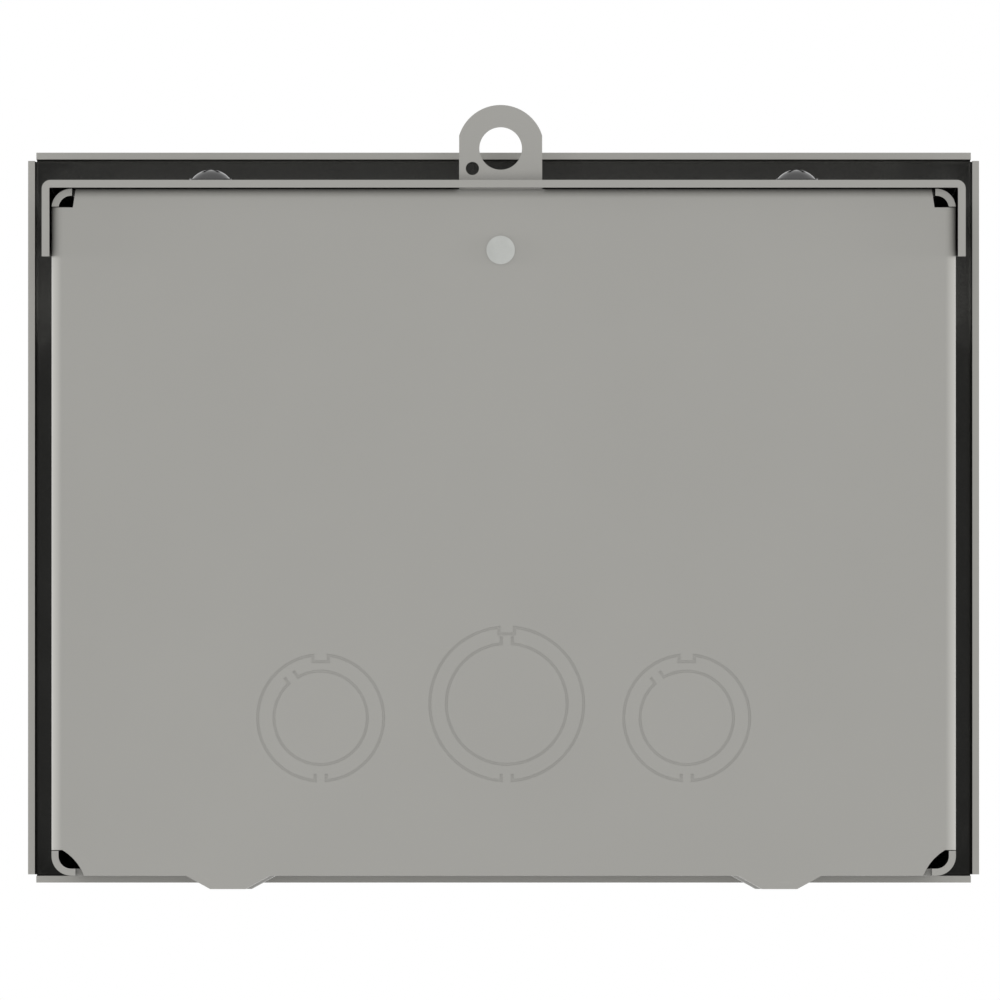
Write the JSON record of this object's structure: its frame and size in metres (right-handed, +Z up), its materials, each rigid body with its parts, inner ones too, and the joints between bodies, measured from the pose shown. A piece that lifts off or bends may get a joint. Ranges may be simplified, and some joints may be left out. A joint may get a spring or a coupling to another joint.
{
  "type": "residential load center",
  "caption": "Rainproof surface-mounted load center: folded steel box with a rain hood, a lift-up padlockable cover, knockouts, bus bars and plug-on breakers.",
  "frame": {"origin": "centre of the four wall-mounting holes, in the plane of the wall", "axes": "+X right as seen from the front, +Y into the wall, +Z up; the front faces -Y"},
  "size_m": [0.2252, 0.1804, 0.3245],
  "materials": {
    "gray_enamel": "smooth satin gray baked enamel",
    "dark_nickel": "glossy dark nickel plate",
    "zinc_plate": "clear zinc plate",
    "galvanised_steel": "galvanised sheet",
    "bare_aluminium": "extruded aluminium",
    "tinned_bus": "tin-plated bus bar",
    "dark_thermoplastic": "glass-filled thermoplastic",
    "black_moulding": "moulded phenolic",
    "handle_moulding": "moulded nylon",
    "green_screw": "green-dyed zinc plate",
    "black_rubber": "closed-cell gasket"
  },
  "bodies": {
    "enclosure": {"box_wrapper": "gray_enamel", "bottom_wall": "gray_enamel", "top_wall": "gray_enamel", "rain_hood": "gray_enamel", "hub_gasket": "black_rubber", "hub_closing_plate": "gray_enamel", "hub_plate_screws": "zinc_plate", "cover_weld_nuts": "zinc_plate", "hasp_plate": "gray_enamel", "hasp_rivet": "zinc_plate", "interior_pan": "galvanised_steel", "pan_screws": "zinc_plate", "insulator_base": "dark_thermoplastic", "bus_bar_left": "tinned_bus", "bus_bar_right": "tinned_bus", "main_lug_left": "bare_aluminium", "main_lug_right": "bare_aluminium", "main_lug_screws": "bare_aluminium", "breaker_rail_left": "galvanised_steel", "breaker_rail_right": "galvanised_steel", "breaker_terminal_screws": "zinc_plate", "neutral_bar": "bare_aluminium", "neutral_bar_screws": "zinc_plate", "neutral_standoffs": "dark_thermoplastic", "neutral_lug": "bare_aluminium", "neutral_lug_screw": "bare_aluminium", "bonding_screw": "green_screw", "ground_bar": "bare_aluminium", "ground_bar_screws": "zinc_plate", "dead_front": "gray_enamel", "dead_front_brackets": "galvanised_steel", "dead_front_screws": "zinc_plate", "space_fillers": "black_moulding", "breaker_1_case": "black_moulding", "breaker_2_case": "black_moulding", "breaker_3_case": "black_moulding", "breaker_4_case": "black_moulding"},
    "cover": {"front_cover": "gray_enamel", "cover_pivot_pins": "zinc_plate"},
    "left_cover_screw": {"cover_screw_left": "dark_nickel"},
    "right_cover_screw": {"cover_screw_right": "dark_nickel"},
    "breaker_1_toggle": {"breaker_1_handle": "handle_moulding"},
    "breaker_2_toggle": {"breaker_2_handle": "handle_moulding"},
    "breaker_3_toggle": {"breaker_3_handle": "handle_moulding"},
    "breaker_4_toggle": {"breaker_4_handle": "handle_moulding"}
  },
  "joints": [
    {"name": "cover_lift", "type": "hinge", "parent": "enclosure", "child": "cover", "pos_m": [0, -0.1543, 0.142], "axis": [-1, 0, 0], "range_deg": [0, 90]},
    {"name": "left_screw_out", "type": "slide", "parent": "cover", "child": "left_cover_screw", "axis": [0, -1, 0], "range_m": [0, 0.009]},
    {"name": "right_screw_out", "type": "slide", "parent": "cover", "child": "right_cover_screw", "axis": [0, -1, 0], "range_m": [0, 0.009]},
    {"name": "breaker_1_switch", "type": "hinge", "parent": "enclosure", "child": "breaker_1_toggle", "pos_m": [-0.036, -0.112, 0.0454], "axis": [0, 0, -1], "range_deg": [0, 36]},
    {"name": "breaker_2_switch", "type": "hinge", "parent": "enclosure", "child": "breaker_2_toggle", "pos_m": [0.036, -0.112, 0.0454], "axis": [0, 0, 1], "range_deg": [0, 36]},
    {"name": "breaker_3_switch", "type": "hinge", "parent": "enclosure", "child": "breaker_3_toggle", "pos_m": [-0.036, -0.112, 0.02], "axis": [0, 0, -1], "range_deg": [0, 36]},
    {"name": "breaker_4_switch", "type": "hinge", "parent": "enclosure", "child": "breaker_4_toggle", "pos_m": [0.036, -0.112, 0.02], "axis": [0, 0, 1], "range_deg": [0, 36]}
  ]
}
